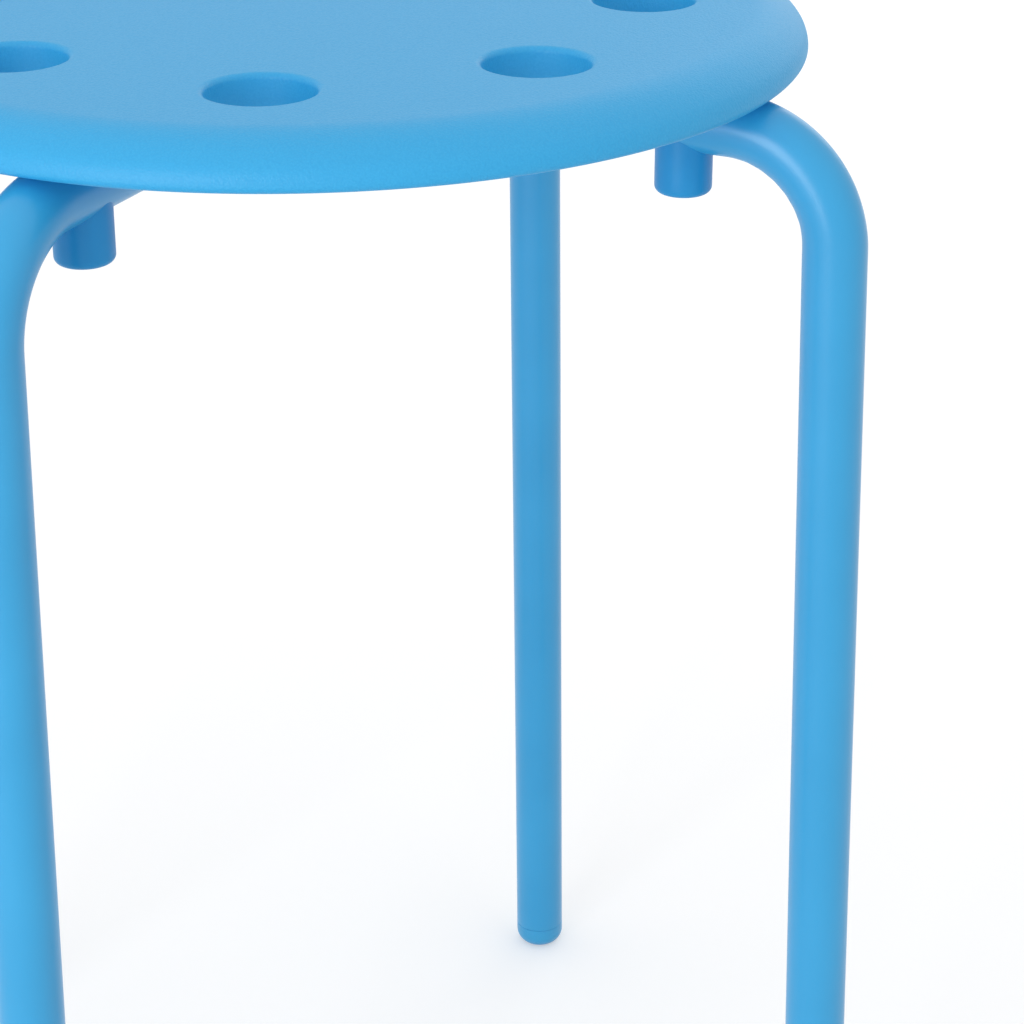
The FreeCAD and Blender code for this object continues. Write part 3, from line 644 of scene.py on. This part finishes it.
def make_stud(number, degrees):
    """Turned outside, recess and bore. Its top follows the arm: z = axis - sqrt(R^2 - y^2)."""
    radius, rounding, drop = 8.5, 2.2, 12.7
    recess, recess_depth, recess_edge, bore = 4.9, 5.5, 0.3, 2.75
    arm_bottom = ARM_AXIS - TUBE_RADIUS
    bottom, wall_top = arm_bottom - drop, arm_bottom - 1.5
    head_seat, bore_start = bottom + recess_depth, bottom + recess_depth + 2
    turn = full_circle(72)

    def top_row(reach):
        y = reach * np.sin(turn)
        saddle = ARM_AXIS - np.sqrt(TUBE_RADIUS ** 2 - y ** 2)
        return np.stack([reach * np.cos(turn), y, saddle], -1)[None]

    skin = turned(np.concatenate([
        run((radius, wall_top), (radius, bottom + rounding), 3)[:-1],
        arc(radius - rounding, bottom + rounding, rounding, 0, -90, 9),
        arc(recess + recess_edge, bottom + recess_edge, recess_edge, -90, -180, 3),
        [(recess, head_seat), (bore, head_seat), (bore, bore_start)],
    ]), turn)
    rows = np.concatenate([
        top_row(radius), skin, top_row(bore), top_row((radius + bore) / 2), top_row(radius)])
    placed = turn_about_z(rows + (STUD_CIRCLE, 0, 0), degrees)
    add_piece(
        f"stacking_stud_moulding_{number}", [placed], (stud_nylon_painted_shade,),
        (f"stacking_stud_{number}",))


def make_foot(number, degrees):
    """Plug on its leg's axis: flat on the floor, rounded up to the leg, then a stem in the bore.
    It leans with the leg, and what would reach below the floor is cut flat at z = 0."""
    trim, rounding, edge, clearance = 0.3, 5.5, 0.1, 0.1
    stem, stem_length, stem_bevel = TUBE_BORE - clearance, 20, 1
    stem_top = FOOT_HEIGHT + stem_length
    profile = np.concatenate([
        [(0, -trim)], arc(TUBE_RADIUS - rounding, rounding - trim, rounding, -90, 0, 14),
        [(TUBE_RADIUS, FOOT_HEIGHT - edge), (TUBE_RADIUS - edge, FOOT_HEIGHT), (stem, FOOT_HEIGHT)],
        [(stem, stem_top - stem_bevel), (stem - stem_bevel, stem_top), (0, stem_top)],
    ])
    points = turned(profile, full_circle(64))
    c, s = math.cos(LEG_SPLAY), math.sin(LEG_SPLAY)
    leaning = points @ np.array([[c, 0, s], [0, 1, 0], [-s, 0, c]])
    leg_top = ARM_AXIS - BEND_RADIUS * (1 - s)
    foot_circle = BEND_CENTRE + BEND_RADIUS * c + leg_top * math.tan(LEG_SPLAY)
    leaning[..., 2] = np.maximum(leaning[..., 2], 0)
    placed = turn_about_z(leaning + (foot_circle, 0, 0), degrees)
    add_piece(
        f"foot_plug_moulding_{number}", [placed], (foot_nylon,),
        (f"foot_plug_{number}",))


make_seat()
make_through_tube()
make_half_tube("half_tube_front", "frame_tube_half_front", -90)
make_half_tube("half_tube_rear", "frame_tube_half_rear", 90)
make_plate()
make_welds()
for number, degrees in enumerate(QUARTER_TURNS, start=1):
    make_stud(number, degrees)
    make_foot(number, degrees)

for name, cad_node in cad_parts.items():
    if "screw" in name or "insert" in name:
        cad_node.data.materials.clear()
        cad_node.data.materials.append(brass if "insert" in name else zinc)

# Stage, light and camera

def seen_directly(tree):
    """1 for rays from the camera and for those that a gloss or glass sends on, else 0."""
    ray = node(tree, "ShaderNodeLightPath")
    seen = node(tree, "ShaderNodeMath", {
        0: ray.outputs["Is Camera Ray"], 1: ray.outputs["Is Glossy Ray"]}, operation="MAXIMUM")
    return node(tree, "ShaderNodeMath", {
        0: seen.outputs[0], 1: ray.outputs["Is Transmission Ray"]}, operation="MAXIMUM").outputs[0]


def white_for_camera(name, colour, lift, far_lift):
    """Matt paint that the camera and reflections see lifted by a little white of its own.
    It grows further out, where the lamps stop reaching the floor."""
    near, far = 0.9, 1.8
    material, tree, output, place = new_material(name)
    paper = node(tree, "ShaderNodeBsdfDiffuse", {"Color": srgb(colour)})
    distance = node(tree, "ShaderNodeVectorMath", {0: place}, operation="LENGTH").outputs["Value"]
    own_white = node(tree, "ShaderNodeMapRange", {
        "Value": distance, "From Min": near, "From Max": far, "To Min": lift, "To Max": far_lift})
    strength = node(tree, "ShaderNodeMath", {
        0: seen_directly(tree), 1: own_white.outputs["Result"]}, operation="MULTIPLY")
    white = node(tree, "ShaderNodeEmission", {
        "Color": (1, 1, 1, 1), "Strength": strength.outputs[0]})
    both = node(tree, "ShaderNodeAddShader", {0: paper.outputs[0], 1: white.outputs[0]})
    tree.links.new(both.outputs[0], output.inputs["Surface"])
    return material


def make_floor():
    """Square floor, just below the feet so that their flats and it never share a plane."""
    half, drop = 6, 0.2 * MM
    mesh = bpy.data.meshes.new("floor")
    corners = [
        (-half, -half, -drop), (half, -half, -drop), (half, half, -drop), (-half, half, -drop)]
    mesh.from_pydata(corners, [], [(0, 1, 2, 3)])
    mesh.materials.append(white_for_camera(
        "studio_floor_paint", "DCDCDC", lift=0.36, far_lift=0.43))
    floor = bpy.data.objects.new("floor", mesh)
    bpy.context.scene.collection.objects.link(floor)


def make_world():
    """White behind the stool. Its light on the stool is strongest from the ceiling."""
    from_horizon, from_ceiling = 0.62, 0.95
    world = bpy.data.worlds.new("studio")
    bpy.context.scene.world = world
    world.use_nodes = True
    tree = world.node_tree
    tree.nodes.clear()
    direction = node(tree, "ShaderNodeTexCoord").outputs["Generated"]
    height = node(tree, "ShaderNodeSeparateXYZ", {0: direction}).outputs["Z"]
    level = node(tree, "ShaderNodeMapRange", {
        "Value": height, "From Min": 0.0, "From Max": 1.0,
        "To Min": from_horizon, "To Max": from_ceiling})
    light = node(tree, "ShaderNodeBackground", {
        "Color": (1, 1, 1, 1), "Strength": level.outputs["Result"]})
    white = node(tree, "ShaderNodeBackground", {"Color": (1, 1, 1, 1), "Strength": 1.0})
    mixed = node(tree, "ShaderNodeMixShader", {
        0: seen_directly(tree), 1: light.outputs[0], 2: white.outputs[0]})
    node(tree, "ShaderNodeOutputWorld", {"Surface": mixed.outputs[0]})


def softbox(name, place, aim, width, height, watts):
    """Flat lamp at a place in metres, turned to face a point."""
    lamp = bpy.data.lights.new(name, "AREA")
    lamp.shape = "RECTANGLE"
    lamp.size, lamp.size_y = width, height
    lamp.energy = watts
    holder = bpy.data.objects.new(name, lamp)
    bpy.context.scene.collection.objects.link(holder)
    direction = np.array(aim, float) - np.array(place, float)
    level = math.hypot(direction[0], direction[1])
    tilt, heading = math.atan2(level, -direction[2]), math.atan2(-direction[0], direction[1])
    holder.location = place
    holder.rotation_euler = (tilt, 0, heading)


def make_camera():
    """At the photograph's place and angle. A small downward shift takes up part of its upright
    view, and tilt takes up the rest, so that other views keep the stool in the picture."""
    down, heading = math.radians(22.70), math.radians(24.627)
    lens = bpy.data.cameras.new("camera")
    lens.sensor_width = 36
    lens.lens = 94.0
    lens.shift_y = -0.10
    lens.clip_start, lens.clip_end = 0.05, 50
    camera = bpy.data.objects.new("camera", lens)
    bpy.context.scene.collection.objects.link(camera)
    camera.location = (0.392, -0.7018, 0.6481)
    camera.rotation_euler = (math.pi / 2 - down, 0, heading)
    bpy.context.scene.camera = camera


make_floor()
make_world()
# The key light stands tall and low in front, for the long highlight down the bends and legs
softbox("key_light", (-0.1, -2.1, 0.64), aim=(0, 0, 0.35), width=0.9, height=1.2, watts=17)
softbox("back_light", (0.1, 2.2, 1.1), aim=(0, 0, 0.4), width=1.4, height=1.2, watts=4)
make_camera()
bpy.context.scene.view_settings.view_transform = "Standard"
